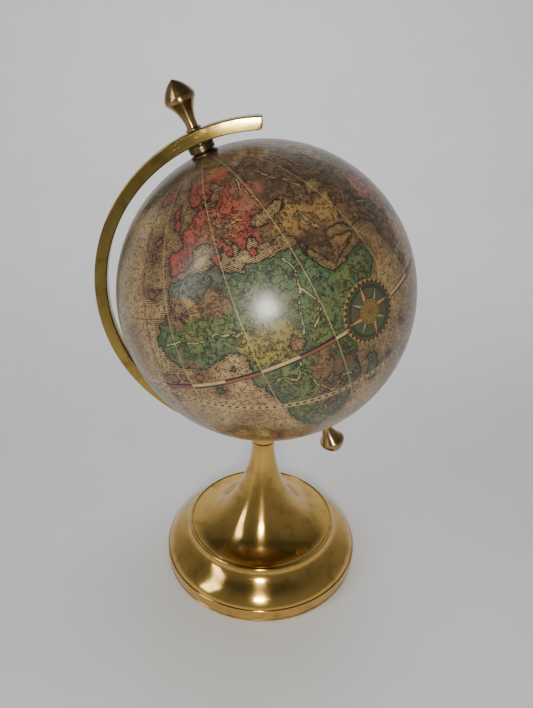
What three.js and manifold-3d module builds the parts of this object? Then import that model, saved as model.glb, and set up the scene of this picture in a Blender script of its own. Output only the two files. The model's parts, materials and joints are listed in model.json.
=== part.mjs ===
// Desk globe: a ball with a printed map that turns between the two ends of a brass arm,
// on a trumpet-shaped brass stem and a stepped round foot.
// Millimetres, +Z up. The origin is on the stem's axis, on the surface the globe stands on.
// The arm lies in the XZ plane and its bow is on the -X side.
import * as THREE from "three";
import { mergeVertices } from "three/addons/utils/BufferGeometryUtils.js";
import Module from "manifold-3d";

const wasm = await Module();
wasm.setup();

// ---- Driving dimensions --------------------------------------------------------------
const GAP = 0.3; // clearance between two pieces that touch

const BALL_RADIUS = 80;
const BALL_HEIGHT = 188; // centre of the ball above the table
const BALL_WALL = 3;
const AXIS_TILT = THREE.MathUtils.degToRad(23.5); // the polar axis leans towards -X

const ARM_INNER_RADIUS = 85.5;
const ARM_OUTER_RADIUS = 92;
const ARM_WIDTH = 6.8;
const ARM_EDGE_CHAMFER = 0.5;
const ARM_END_CHAMFER = 1.8; // on the inner corner of each end
const ARM_OVERHANG = THREE.MathUtils.degToRad(21); // the arm runs this far past each pole

const AXLE_RADIUS = 1.5;
const AXLE_HOLE_RADIUS = AXLE_RADIUS + GAP;
const FINIAL_HEIGHT = 24.2;
const FINIAL_BORE_DEPTH = 13;
const POLE_CAP_RADIUS = 7;
const SPACER_RADIUS = 6.6;

const FOOT_RADIUS = 62.3; // widest part of the foot
const FOOT_WALL = 1.4;
const PLATE_HEIGHT = 27.4; // flat top of the foot
const PLATE_RADIUS = 47.4;
const PLATE_BEAD_RADIUS = 1;
const EDGE_HEIGHT = 9.8; // top of the foot's upright wall
const EDGE_BEAD_RADIUS = 0.7;
const RIM_BEAD_RADIUS = 0.9;

const STEM_FLARE_RADIUS = 45.2; // it lies on the plate, just inside the bead
const STEM_NECK_RADIUS = 7.2;
const STEM_TOP = 90;
const SADDLE_RADIUS = 8;
const SADDLE_CHEEK = 2; // how far the saddle reaches up beside the arm

const TIE_ROD_RADIUS = 2.9;
const TIE_HOLE_RADIUS = TIE_ROD_RADIUS + GAP;
const TIE_ROD_GRIP = 4.2; // length of the rod inside the arm

const FELT_THICKNESS = 1.6;
const COVER_THICKNESS = 2.5;
const NUT_HEIGHT = 5;
const NUT_ACROSS_FLATS = 10;
const WASHER_RADIUS = 9;
const WASHER_THICKNESS = 1.5;

// ---- Heights inside the foot, from the table up --------------------------------------
const coverBottom = FELT_THICKNESS + GAP;
const coverTop = coverBottom + COVER_THICKNESS;
const tieRodBottom = coverTop + 0.6;
const nutBottom = tieRodBottom + 1.5;
const washerBottom = nutBottom + NUT_HEIGHT + GAP;
const ballastBottom = washerBottom + WASHER_THICKNESS + GAP;
const ballastTop = PLATE_HEIGHT - FOOT_WALL - GAP;
const ballastRadius = PLATE_RADIUS - 3.4;
const coverRadius = FOOT_RADIUS - FOOT_WALL - 1.1;
const armBottom = BALL_HEIGHT - ARM_OUTER_RADIUS;

// ---- Materials -----------------------------------------------------------------------
const metal = (color, roughness) =>
  new THREE.MeshStandardMaterial({ color, roughness, metalness: 1 });
const plain = (color, roughness) =>
  new THREE.MeshStandardMaterial({ color, roughness, metalness: 0 });

const polishedBrass = metal(0xc79a45, 0.15);
const satinBrass = metal(0xa8934a, 0.35);
const bronze = metal(0x9c7148, 0.25);
const steel = metal(0x9a9a98, 0.4);
const castIron = metal(0x3a3a3c, 0.7);
const mapPaper = plain(0x9a8464, 0.25);
const card = plain(0x8d7350, 0.9);
const wood = plain(0xa97c4c, 0.7);
const felt = plain(0x1f4a33, 1);

// ---- Helpers -------------------------------------------------------------------------
const point = (radius, height) => new THREE.Vector2(radius, height);

// Points of a circular arc in a turning profile, both ends included.
function arc(centre, radius, fromDegrees, toDegrees, steps) {
  const points = [];
  for (let i = 0; i <= steps; i += 1) {
    const angle = THREE.MathUtils.degToRad(fromDegrees + ((toDegrees - fromDegrees) * i) / steps);
    points.push(point(centre.x + radius * Math.cos(angle), centre.y + radius * Math.sin(angle)));
  }
  return points;
}

// A solid turned on the Z axis. Its profile starts and ends on the axis and runs
// anticlockwise in the (radius, height) plane.
function turned(profile, segments) {
  return new THREE.LatheGeometry(profile, segments).rotateX(Math.PI / 2);
}

// A turned solid with a bore right through it: the profile closes on itself.
function turnedRing(profile, segments) {
  return turned([...profile, profile[0].clone()], segments);
}

function tube(innerRadius, outerRadius, bottom, top, segments) {
  const profile = [
    point(innerRadius, bottom),
    point(outerRadius, bottom),
    point(outerRadius, top),
    point(innerRadius, top),
  ];
  return turnedRing(profile, segments);
}

function rod(radius, bottom, top, segments) {
  const profile = [point(0, bottom), point(radius, bottom), point(radius, top), point(0, top)];
  return turned(profile, segments);
}

function toSolid(geometry) {
  const bare = geometry.clone();
  bare.deleteAttribute("normal");
  bare.deleteAttribute("uv");
  const merged = mergeVertices(bare, 1e-4);
  const mesh = new wasm.Mesh({
    numProp: 3,
    vertProperties: new Float32Array(merged.attributes.position.array),
    triVerts: new Uint32Array(merged.index.array),
  });
  return new wasm.Manifold(mesh);
}

function cut(geometry, ...tools) {
  const solid = tools.reduce((body, tool) => body.subtract(toSolid(tool)), toSolid(geometry));
  const mesh = solid.getMesh();
  const result = new THREE.BufferGeometry();
  result.setAttribute("position", new THREE.BufferAttribute(mesh.vertProperties, 3));
  result.setIndex(new THREE.BufferAttribute(mesh.triVerts, 1));
  result.computeVertexNormals();
  return result;
}

function piece(name, geometry, material) {
  const mesh = new THREE.Mesh(geometry, material);
  mesh.name = name;
  return mesh;
}

// ---- Foot ----------------------------------------------------------------------------
// One sheet of brass spun to a plate with a beaded edge, a shoulder that is hollow above and
// round below, and an upright wall with a bead at its top and a rolled rim.
function footShell() {
  const beadCentre = point(PLATE_RADIUS - PLATE_BEAD_RADIUS, PLATE_HEIGHT - 0.5);
  const edgeCentre = point(FOOT_RADIUS - EDGE_BEAD_RADIUS, EDGE_HEIGHT - EDGE_BEAD_RADIUS);
  const rimCentre = point(FOOT_RADIUS - 0.2 - RIM_BEAD_RADIUS, RIM_BEAD_RADIUS + 0.4);
  const shoulder = new THREE.CubicBezierCurve(
    point(PLATE_RADIUS - 0.1, PLATE_HEIGHT - 1.6),
    point(PLATE_RADIUS + 0.8, PLATE_HEIGHT - 7.9),
    point(FOOT_RADIUS - 3.4, EDGE_HEIGHT + 7.7),
    point(FOOT_RADIUS - 1, EDGE_HEIGHT + 0.5),
  );
  const shoulderInside = new THREE.CubicBezierCurve(
    point(FOOT_RADIUS - FOOT_WALL - 1, EDGE_HEIGHT - 0.6),
    point(FOOT_RADIUS - 4.9, EDGE_HEIGHT + 6.4),
    point(PLATE_RADIUS - 0.7, PLATE_HEIGHT - 9),
    point(PLATE_RADIUS - 1.7, PLATE_HEIGHT - 2.8),
  );
  const outside = [
    point(TIE_HOLE_RADIUS, PLATE_HEIGHT),
    ...arc(beadCentre, PLATE_BEAD_RADIUS, 150, -45, 4),
    ...shoulder.getPoints(9),
    ...arc(edgeCentre, EDGE_BEAD_RADIUS, 90, 0, 2),
    ...arc(rimCentre, RIM_BEAD_RADIUS, 45, -180, 4),
  ];
  const inside = [
    point(FOOT_RADIUS - FOOT_WALL - 0.5, rimCentre.y + 1.5),
    point(FOOT_RADIUS - FOOT_WALL, rimCentre.y + 2.5),
    point(FOOT_RADIUS - FOOT_WALL, EDGE_HEIGHT - 2),
    ...shoulderInside.getPoints(6),
    point(PLATE_RADIUS - 2.6, PLATE_HEIGHT - FOOT_WALL),
    point(TIE_HOLE_RADIUS, PLATE_HEIGHT - FOOT_WALL),
  ];
  return turnedRing([...outside, ...inside].reverse(), 48);
}

function tieNut() {
  const cornerRadius = NUT_ACROSS_FLATS / Math.sqrt(3);
  const corners = [];
  for (let i = 0; i < 6; i += 1) {
    const angle = (i * Math.PI) / 3;
    corners.push(point(cornerRadius * Math.cos(angle), cornerRadius * Math.sin(angle)));
  }
  const hexagon = new THREE.Shape(corners);
  hexagon.holes.push(new THREE.Path().absarc(0, 0, TIE_HOLE_RADIUS, 0, 2 * Math.PI, true));
  const options = { depth: NUT_HEIGHT, bevelEnabled: false, curveSegments: 12 };
  return new THREE.ExtrudeGeometry(hexagon, options).translate(0, 0, nutBottom);
}

// ---- Stem ----------------------------------------------------------------------------
// A trumpet that flares out on to the foot's plate, hollowed from below round the tie rod.
function stemTrumpet() {
  const bottom = PLATE_HEIGHT + GAP;
  const flare = new THREE.CubicBezierCurve(
    point(STEM_FLARE_RADIUS, bottom + 0.3),
    point(18, bottom),
    point(5, 76),
    point(STEM_NECK_RADIUS, STEM_TOP),
  );
  const profile = [
    point(STEM_FLARE_RADIUS - 20, bottom),
    point(STEM_FLARE_RADIUS, bottom),
    ...flare.getPoints(12),
    point(TIE_HOLE_RADIUS, STEM_TOP),
    point(TIE_HOLE_RADIUS, bottom + 20),
  ];
  return turnedRing(profile, 40);
}

// A turned cup on top of the stem, slotted across so that the arm cannot twist in it.
function armSaddle() {
  const bottom = STEM_TOP + GAP;
  const top = armBottom + SADDLE_CHEEK;
  const body = turnedRing([
    point(TIE_HOLE_RADIUS, bottom),
    point(STEM_NECK_RADIUS, bottom),
    point(SADDLE_RADIUS, bottom + 1.2),
    point(SADDLE_RADIUS, top - 0.6),
    point(SADDLE_RADIUS - 0.6, top),
    point(TIE_HOLE_RADIUS, top),
  ], 32);
  const slotRadius = ARM_OUTER_RADIUS + GAP;
  const slot = new THREE.CylinderGeometry(slotRadius, slotRadius, ARM_WIDTH + 2 * GAP, 180);
  return cut(body, slot.translate(0, 0, BALL_HEIGHT));
}

// ---- Arm -----------------------------------------------------------------------------
// A brass bar bent to an arc round the ball. The axle passes through both ends, and the
// tie rod screws into it from below.
function meridianArm() {
  const start = Math.PI / 2 + AXIS_TILT - ARM_OVERHANG;
  const end = start + Math.PI + 2 * ARM_OVERHANG;
  const chamferAngle = ARM_END_CHAMFER / ARM_INNER_RADIUS;
  const onArc = (radius, angle) => [radius * Math.cos(angle), radius * Math.sin(angle)];
  const outline = new THREE.Shape();
  outline.absarc(0, 0, ARM_OUTER_RADIUS, start, end, false);
  outline.lineTo(...onArc(ARM_INNER_RADIUS + ARM_END_CHAMFER, end));
  outline.absarc(0, 0, ARM_INNER_RADIUS, end - chamferAngle, start + chamferAngle, true);
  outline.lineTo(...onArc(ARM_INNER_RADIUS + ARM_END_CHAMFER, start));
  const bar = new THREE.ExtrudeGeometry(outline, {
    depth: ARM_WIDTH - 2 * ARM_EDGE_CHAMFER,
    bevelThickness: ARM_EDGE_CHAMFER,
    bevelSize: ARM_EDGE_CHAMFER,
    bevelOffset: -ARM_EDGE_CHAMFER,
    bevelSegments: 1,
    curveSegments: 36,
  });
  bar.rotateX(Math.PI / 2).translate(0, ARM_WIDTH / 2 - ARM_EDGE_CHAMFER, BALL_HEIGHT);
  const axleHole = rod(AXLE_HOLE_RADIUS, -ARM_OUTER_RADIUS - 5, ARM_OUTER_RADIUS + 5, 16);
  axleHole.rotateY(-AXIS_TILT).translate(0, 0, BALL_HEIGHT);
  const tieHole = rod(TIE_HOLE_RADIUS, armBottom - 5, armBottom + TIE_ROD_GRIP + GAP, 20);
  return cut(bar, axleHole, tieHole);
}

// ---- Pieces on the polar axis, drawn for the upper pole with the ball's centre at 0 ---
// A turned knob that screws on to the end of the axle: foot, slim neck, bulb and blunt point.
function finial() {
  const foot = ARM_OUTER_RADIUS + GAP;
  const boreEnd = foot + FINIAL_BORE_DEPTH;
  const neck = new THREE.CubicBezierCurve(
    point(2.8, foot + 1.8), point(2.6, foot + 6), point(4.2, foot + 8.5), point(7.2, foot + 13.6),
  );
  const profile = [
    point(0, boreEnd),
    point(AXLE_HOLE_RADIUS, boreEnd),
    point(AXLE_HOLE_RADIUS, foot),
    point(4, foot),
    point(4, foot + 0.9),
    ...neck.getPoints(6),
    ...arc(point(5.8, foot + 15.2), 2, -30, 30, 3),
    point(6.5, foot + 18.4),
    point(4.4, foot + 21.2),
    point(0, foot + FINIAL_HEIGHT),
  ];
  return turned(profile, 24);
}

function spacer() {
  return tube(AXLE_HOLE_RADIUS, SPACER_RADIUS, BALL_RADIUS + 1.9, ARM_INNER_RADIUS - 0.4, 24);
}

// A domed brass disc that sits on the ball round the axle.
function poleCap() {
  const seat = BALL_RADIUS + GAP;
  const seatHeight = (radius) => Math.sqrt(seat * seat - radius * radius);
  const profile = [
    point(AXLE_HOLE_RADIUS, seatHeight(AXLE_HOLE_RADIUS)),
    point(POLE_CAP_RADIUS, seatHeight(POLE_CAP_RADIUS)),
    point(POLE_CAP_RADIUS, BALL_RADIUS + 0.7),
    point(POLE_CAP_RADIUS - 0.8, BALL_RADIUS + 1.3),
    point(AXLE_HOLE_RADIUS, BALL_RADIUS + 1.6),
  ];
  return turnedRing(profile, 28);
}

// Half of the ball, open at the pole for the axle.
function hemisphere() {
  const centre = point(0, 0);
  const innerRadius = BALL_RADIUS - BALL_WALL;
  const seamDegrees = THREE.MathUtils.radToDeg(GAP / 2 / BALL_RADIUS);
  const poleDegrees = 90 - THREE.MathUtils.radToDeg(AXLE_HOLE_RADIUS / BALL_RADIUS);
  const profile = [
    ...arc(centre, BALL_RADIUS, seamDegrees, poleDegrees, 10),
    ...arc(centre, innerRadius, poleDegrees, seamDegrees, 6),
  ];
  return turnedRing(profile, 44);
}

// A flanged wooden plug inside the ball that guides the axle.
function poleBush() {
  const profile = [
    point(AXLE_HOLE_RADIUS, 62),
    point(5.5, 62),
    point(5.5, 71),
    point(9, 71),
    point(9, 75),
    point(AXLE_HOLE_RADIUS, 75),
  ];
  return turnedRing(profile, 24);
}

// The band inside the ball that the two halves are glued to.
function seamBand() {
  return tube(73.5, 75.8, -5, 5, 44);
}

function axleRod() {
  const halfLength = ARM_OUTER_RADIUS + FINIAL_BORE_DEPTH - 0.5;
  return rod(AXLE_RADIUS, -halfLength, halfLength, 16);
}

// ---- The globe -----------------------------------------------------------------------
const globe = new THREE.Group();

const stand = new THREE.Group();
stand.add(
  piece("felt_pad", rod(coverRadius, 0, FELT_THICKNESS, 44), felt),
  piece("bottom_cover", rod(coverRadius, coverBottom, coverTop, 44), card),
  piece("foot_shell", footShell(), polishedBrass),
  piece("ballast_disc", tube(TIE_HOLE_RADIUS, ballastRadius, ballastBottom, ballastTop, 40), castIron),
  piece("tie_rod", rod(TIE_ROD_RADIUS, tieRodBottom, armBottom + TIE_ROD_GRIP, 20), steel),
  piece("tie_nut", tieNut(), steel),
  piece("tie_washer", tube(TIE_HOLE_RADIUS, WASHER_RADIUS, washerBottom, washerBottom + WASHER_THICKNESS, 24), steel),
  piece("stem_trumpet", stemTrumpet(), polishedBrass),
  piece("arm_saddle", armSaddle(), polishedBrass),
  piece("meridian_arm", meridianArm(), satinBrass),
);

const polarAxis = new THREE.Group();
polarAxis.position.z = BALL_HEIGHT;
polarAxis.rotation.y = -AXIS_TILT;
polarAxis.add(
  piece("axle_rod", axleRod(), steel),
  piece("seam_band", seamBand(), card),
);

// Each pole has the same pieces, turned over at the lower one.
for (const [place, half, turn] of [["upper", "north", 0], ["lower", "south", Math.PI]]) {
  const pole = new THREE.Group();
  pole.rotation.x = turn;
  pole.add(
    piece(`${place}_finial`, finial(), bronze),
    piece(`${place}_spacer`, spacer(), satinBrass),
    piece(`${half}_pole_cap`, poleCap(), satinBrass),
    piece(`${half}_hemisphere`, hemisphere(), mapPaper),
    piece(`${half}_pole_bush`, poleBush(), wood),
  );
  polarAxis.add(pole);
}

globe.add(stand, polarAxis);

export default globe;
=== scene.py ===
# Antique-map desk globe, built on the imported model's frame. Blender 4.5, metres, +Z up.
# The ball's gores carry the map as distances to listed coasts, borders and rivers, and
# one material inks and colours them. The brass pieces are turned from smooth profiles.
import json
import math

import bpy
import numpy as np
from mathutils import Matrix, Vector


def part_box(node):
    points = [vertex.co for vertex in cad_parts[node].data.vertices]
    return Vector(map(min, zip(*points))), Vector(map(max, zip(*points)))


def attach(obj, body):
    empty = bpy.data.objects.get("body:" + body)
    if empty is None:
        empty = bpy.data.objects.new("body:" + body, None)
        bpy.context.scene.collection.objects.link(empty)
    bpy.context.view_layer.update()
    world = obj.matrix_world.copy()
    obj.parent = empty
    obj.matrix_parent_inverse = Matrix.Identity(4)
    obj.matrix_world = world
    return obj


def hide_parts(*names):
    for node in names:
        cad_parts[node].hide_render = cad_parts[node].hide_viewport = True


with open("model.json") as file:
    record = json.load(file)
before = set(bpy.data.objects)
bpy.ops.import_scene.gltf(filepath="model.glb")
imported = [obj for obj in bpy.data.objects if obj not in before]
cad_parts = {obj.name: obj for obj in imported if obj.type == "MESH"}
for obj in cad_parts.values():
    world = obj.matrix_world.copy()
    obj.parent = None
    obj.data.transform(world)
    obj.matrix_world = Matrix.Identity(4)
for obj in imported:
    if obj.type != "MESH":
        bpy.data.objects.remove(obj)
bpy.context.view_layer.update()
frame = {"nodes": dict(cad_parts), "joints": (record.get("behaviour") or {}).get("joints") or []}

MM = 0.001
GAP = 0.3 * MM

# ---- Sizes, from the frame's nodes and joint ----
SPIN = next(joint for joint in frame["joints"] if joint["name"] == "ball_spin")
BALL_CENTRE = Vector(SPIN["pos_m"])
POLAR_AXIS = Vector(SPIN["axis"]).normalized()
AXIS_TILT = math.asin(-POLAR_AXIS.x)

BALL_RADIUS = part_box("north_hemisphere")[1][1]
BALL_WALL = 3 * MM
ARM_LOW, ARM_HIGH = (Vector(corner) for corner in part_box("meridian_arm"))
ARM_OUTER = BALL_CENTRE.x - ARM_LOW.x
ARM_INNER = ARM_OUTER - 6.5 * MM
ARM_WIDTH = ARM_HIGH.y - ARM_LOW.y
ARM_OVERHANG = math.radians(21)
AXLE_HOLE = 1.8 * MM
FOOT_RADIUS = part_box("foot_shell")[1][0]
FOOT_WALL = 1.4 * MM
PLATE_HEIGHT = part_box("stem_trumpet")[0][2] - GAP
PLATE_RADIUS = FOOT_RADIUS - 14.9 * MM
STEM_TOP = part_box("stem_trumpet")[1][2]
STEM_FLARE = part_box("stem_trumpet")[1][0]
STEM_NECK = 7.2 * MM
TIE_HOLE = 3.2 * MM
ON_AXIS = 0.0001 * MM  # radius of a profile's points on the axis

# ---- Sizes of the map ----
GORES = 14
GORE_WIDTH = 360 / GORES  # degrees of longitude
FIRST_SEAM = 12.2  # longitude of one seam
MAP_TURN = 106  # longitude that lies on the ball's +X side
PAPER = 0.2 * MM
GORE_COLUMNS = 29
GORE_ROWS = 201
DEGREE = math.radians(1) * BALL_RADIUS / MM  # length of a degree of latitude, in mm

# ---- Camera ----
CAMERA_PLACE = Vector((-13.2, -319.0, 324.8)) * MM
CAMERA_TURN = math.radians(2.5)  # to the right of +Y
CAMERA_PITCH = math.radians(28.67)  # downwards
CAMERA_ROLL = math.radians(1.4)
LENS = 32.24  # for a 36 mm long side


def add_camera():
    ahead = Vector((math.sin(CAMERA_TURN), math.cos(CAMERA_TURN), 0))
    look = ahead * math.cos(CAMERA_PITCH) - Vector((0, 0, math.sin(CAMERA_PITCH)))
    level = ahead.cross(Vector((0, 0, 1)))
    up = level.cross(look)
    right = level * math.cos(CAMERA_ROLL) + up * math.sin(CAMERA_ROLL)
    data = bpy.data.cameras.new("camera")
    data.lens = LENS
    data.sensor_width = 36
    data.clip_start = 0.01
    camera = bpy.data.objects.new("camera", data)
    turn = Matrix((right, right.cross(look), -look)).transposed()
    camera.matrix_world = Matrix.Translation(CAMERA_PLACE) @ turn.to_4x4()
    bpy.context.scene.collection.objects.link(camera)
    bpy.context.scene.camera = camera


# ---- Shader building ----
class Value:
    """A number, vector or colour that varies over a surface, with the usual arithmetic."""

    def __init__(self, shader, socket):
        self.shader = shader
        self.socket = socket

    def __add__(self, other):
        return self.shader.math("ADD", self, other)

    __radd__ = __add__

    def __sub__(self, other):
        return self.shader.math("SUBTRACT", self, other)

    def __rsub__(self, other):
        return self.shader.math("SUBTRACT", other, self)

    def __mul__(self, other):
        return self.shader.math("MULTIPLY", self, other)

    __rmul__ = __mul__

    def __truediv__(self, other):
        return self.shader.math("DIVIDE", self, other)

    def __neg__(self):
        return self * -1

    def __abs__(self):
        return self.shader.math("ABSOLUTE", self)


class Shader:
    """One material. Its numbers are plain floats or Values, and lengths are in millimetres."""

    def __init__(self, name):
        self.material = bpy.data.materials.new(name)
        self.material.use_nodes = True
        self.tree = self.material.node_tree
        self.surface = self.tree.nodes["Principled BSDF"]

    def connect(self, socket, value):
        if isinstance(value, Value):
            self.tree.links.new(value.socket, socket)
        elif isinstance(value, tuple) and len(value) == 3 and socket.type == "RGBA":
            socket.default_value = (*value, 1)
        else:
            socket.default_value = value

    def set(self, **values):
        """Sets the surface's inputs, such as base_color or coat_weight."""
        for name, value in values.items():
            words = name.replace("_", " ").title().replace("Ior", "IOR")
            self.connect(self.surface.inputs[words], value)

    def node(self, kind, inputs, output=0, **settings):
        node = self.tree.nodes.new("ShaderNode" + kind)
        for name, value in settings.items():
            setattr(node, name, value)
        for key, value in inputs.items():
            self.connect(node.inputs[key], value)
        return Value(self, node.outputs[output])

    def math(self, operation, *values):
        return self.node("Math", dict(enumerate(values)), operation=operation)

    def vector(self, operation, *values, output=0):
        return self.node("VectorMath", dict(enumerate(values)), output, operation=operation)

    def largest(self, first, *others):
        for other in others:
            first = self.math("MAXIMUM", first, other)
        return first

    def split(self, vector):
        parts = self.node("SeparateXYZ", {0: vector}).socket.node.outputs
        return [Value(self, part) for part in parts]

    def join(self, x, y, z):
        return self.node("CombineXYZ", {0: x, 1: y, 2: z})

    def step(self, value, low, high):
        """0 at low and 1 at high, smoothly. It falls instead if low is more than high."""
        inputs = {0: value, 1: low, 2: high}
        return self.node("MapRange", inputs, interpolation_type="SMOOTHSTEP")

    def place(self):
        """The point on the surface at rest, in millimetres."""
        point = self.node("TexCoord", {}, "Object")
        return self.node("VectorMath", {0: point, 3: 1 / MM}, operation="SCALE")

    def attribute(self, name, output="Fac"):
        return self.node("Attribute", {}, output, attribute_name=name)

    def noise(self, where, size, detail=2, roughness=0.5):
        inputs = {"Vector": where, "Scale": 1 / size, "Detail": detail, "Roughness": roughness}
        return self.node("TexNoise", inputs)

    def cells(self, where, size, output="Distance", randomness=1.0):
        inputs = {"Vector": where, "Scale": 1 / size, "Randomness": randomness}
        return self.node("TexVoronoi", inputs, output)

    def blend(self, amount, under, over, kind="MIX"):
        inputs = {0: amount, 6: under, 7: over}
        return self.node("Mix", inputs, 2, data_type="RGBA", blend_type=kind)

    def layers(self, colour, *layers):
        """Lays paints over a colour, one after the other. Each is an amount and its paint."""
        for amount, paint in layers:
            colour = self.blend(amount, colour, paint)
        return colour

    def bump(self, height, strength=1.0):
        """A relief whose height is in millimetres."""
        inputs = {"Strength": strength, "Distance": MM, "Height": height}
        return self.node("Bump", inputs, "Normal")


def turned_place(s, centre, tilt):
    """The point seen from an axis through centre: angle round it, distance and height in mm."""
    offset = s.vector("SUBTRACT", s.place(), tuple(centre / MM))
    local = s.node("VectorRotate", {"Vector": offset, "Rotation": (0, tilt, 0)},
                   rotation_type="EULER_XYZ")
    x, y, z = s.split(local)
    angle = s.math("ARCTAN2", y, x)
    radius = s.math("SQRT", x * x + y * y)
    return angle, radius, z


# ---- Materials: brass and the hidden pieces ----
def brass(name, bright, dull, roughness, scratches, along):
    """Lacquered brass. along(s) gives the place as lengths with, across and out of the polish,
    and the polish's direction."""
    s = Shader(name)
    where = s.place()
    run, across, depth, direction = along(s)
    fine = s.noise(s.join(run * 0.12, across * 4, depth * 4), 1.0, 3, 0.6)
    sparse = s.step(s.noise(s.join(run * 0.05, across * 8, depth * 8), 1.0, 1), 0.66, 0.74)
    smudge = s.noise(where, 14, 4, 0.6)
    tarnish = s.step(s.noise(where, 9, 5, 0.62), 0.46, 0.74)
    freckle = s.step(s.cells(where, 2.6), 0.10, 0.04) * s.step(s.noise(where, 5), 0.54, 0.62)
    colour = s.layers(
        bright,
        (tarnish * 0.7, dull),
        ((fine - 0.4) * scratches * 0.5, dull),
        (freckle * 0.5, (0.14, 0.07, 0.03)),
    )
    rough = roughness + smudge * 0.08 + tarnish * 0.07 + (fine - 0.5) * scratches * 0.12
    s.set(
        base_color=colour,
        metallic=1.0,
        roughness=rough + freckle * 0.2,
        anisotropic=0.8,
        anisotropic_rotation=0.25,
        tangent=direction,
        coat_weight=0.15,
        coat_roughness=0.1,
        normal=s.bump(fine * 0.003 * scratches + sparse * 0.005 * scratches + smudge * 0.02),
    )
    return s.material


def round_axis(s, centre, tilt):
    """Lengths and direction of a polish that runs round a leaning axis."""
    angle, radius, height = turned_place(s, centre, tilt)
    axis = (-math.sin(tilt), 0, math.cos(tilt))
    offset = s.vector("SUBTRACT", s.place(), tuple(centre / MM))
    tangent = s.vector("CROSS_PRODUCT", axis, offset)
    return angle * radius, radius, height, s.vector("NORMALIZE", to_world(s, tangent))


def to_world(s, direction):
    """The direction turned with its piece, as the surface's tangent has to be."""
    return s.node("VectorTransform", {0: direction}, vector_type="VECTOR",
                  convert_from="OBJECT", convert_to="WORLD")


def round_stem(s):
    return round_axis(s, Vector((0, 0, 0)), 0)


def round_polar_axis(s):
    return round_axis(s, BALL_CENTRE, AXIS_TILT)


def along_arm(s):
    offset = s.vector("SUBTRACT", s.place(), tuple(BALL_CENTRE / MM))
    x, y, z = s.split(offset)
    radius = s.math("SQRT", x * x + z * z)
    tangent = s.vector("CROSS_PRODUCT", (0.0, 1.0, 0.0), offset)
    direction = s.vector("NORMALIZE", to_world(s, tangent))
    return s.math("ARCTAN2", x, z) * radius, radius, y, direction


# Bright colour, dull colour, roughness, scratches and the way of the polish.
BRASSES = {
    "polished_brass": ((0.66, 0.41, 0.105), (0.36, 0.20, 0.05), 0.1, 0.6, round_stem),
    "satin_brass": ((0.41, 0.29, 0.072), (0.18, 0.11, 0.028), 0.12, 1.8, along_arm),
    # Painted shade: the collars' and pole caps' tarnished brass is darkened further to stand for the
    # arm's shadow on them.
    "dull_brass_with_painted_shade": ((0.15, 0.115, 0.045), (0.06, 0.04, 0.02), 0.4, 1.0, round_polar_axis),
    "bronze": ((0.42, 0.27, 0.115), (0.16, 0.09, 0.036), 0.2, 0.8, round_polar_axis),
}


def steel():
    s = Shader("steel")
    where = s.place()
    rust = s.step(s.noise(where, 3, 5, 0.7), 0.58, 0.7)
    s.set(
        base_color=s.blend(rust, (0.52, 0.52, 0.50), (0.20, 0.09, 0.04)),
        metallic=1.0,
        roughness=0.35 + rust * 0.4,
        normal=s.bump(s.noise(where, 0.4, 3) * 0.02),
    )
    return s.material


def cast_iron():
    s = Shader("cast_iron")
    where = s.place()
    grain = s.noise(where, 0.8, 5, 0.7)
    s.set(
        base_color=s.blend(s.noise(where, 9, 3), (0.030, 0.030, 0.032), (0.075, 0.06, 0.05)),
        metallic=0.6,
        roughness=0.6 + grain * 0.3,
        normal=s.bump(grain * 0.25),
    )
    return s.material


def fibreboard():
    s = Shader("fibreboard")
    where = s.place()
    fibres = s.noise(s.vector("MULTIPLY", where, (1, 4, 4)), 1.2, 5, 0.7)
    s.set(
        base_color=s.blend(fibres, (0.20, 0.13, 0.07), (0.42, 0.31, 0.19)),
        roughness=0.8 + fibres * 0.15,
        normal=s.bump(fibres * 0.08),
    )
    return s.material


def turned_wood():
    s = Shader("turned_wood")
    x, y, z = s.split(s.place())
    rings = s.noise(s.join(x * 0.3, y * 0.3, z * 0.04), 0.5, 4, 0.6)
    s.set(
        base_color=s.blend(rings, (0.36, 0.21, 0.10), (0.62, 0.42, 0.24)),
        roughness=0.5 + rings * 0.2,
        normal=s.bump(rings * 0.05),
    )
    return s.material


def baize():
    s = Shader("baize")
    where = s.place()
    fibres = s.noise(s.vector("MULTIPLY", where, (3, 1, 1)), 0.5, 6, 0.75)
    pile = s.noise(where, 0.25, 4, 0.7)
    worn = s.step(s.noise(where, 12, 4), 0.5, 0.75)
    colour = s.blend(fibres, (0.012, 0.060, 0.030), (0.040, 0.150, 0.080))
    s.set(
        base_color=s.blend(worn * 0.4, colour, (0.10, 0.16, 0.09)),
        roughness=0.85 + pile * 0.15,
        sheen_weight=0.6,
        sheen_roughness=0.5,
        normal=s.bump(fibres * 0.15 + pile * 0.12),
    )
    return s.material


# ---- Turned and swept pieces ----
def arc(centre_radius, centre_height, radius, start, end, steps):
    """Points of a circular arc in a (radius, height) profile, from start to end degrees."""
    angles = np.radians(np.linspace(start, end, steps + 1))
    return [(centre_radius + radius * math.cos(a), centre_height + radius * math.sin(a))
            for a in angles]


def beside(corner, out, up):
    """The profile point that lies out and up from a corner, in millimetres."""
    return corner[0] + out * MM, corner[1] + up * MM


def bezier(first, first_handle, last_handle, last, steps):
    """Points of a cubic curve in a (radius, height) profile."""
    curve = []
    for t in np.linspace(0, 1, steps + 1):
        weights = ((1 - t) ** 3, 3 * (1 - t) ** 2 * t, 3 * (1 - t) * t ** 2, t ** 3)
        points = (first, first_handle, last_handle, last)
        curve.append(tuple(sum(w * p[i] for w, p in zip(weights, points)) for i in range(2)))
    return curve


def new_piece(name, vertices, faces, material, body):
    """A mesh object in the part's frame that rides on a body."""
    mesh = bpy.data.meshes.new(name)
    mesh.from_pydata(vertices, [], faces)
    mesh.update()
    mesh.materials.append(material)
    piece = bpy.data.objects.new(name, mesh)
    bpy.context.scene.collection.objects.link(piece)
    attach(piece, body)
    return piece


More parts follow.
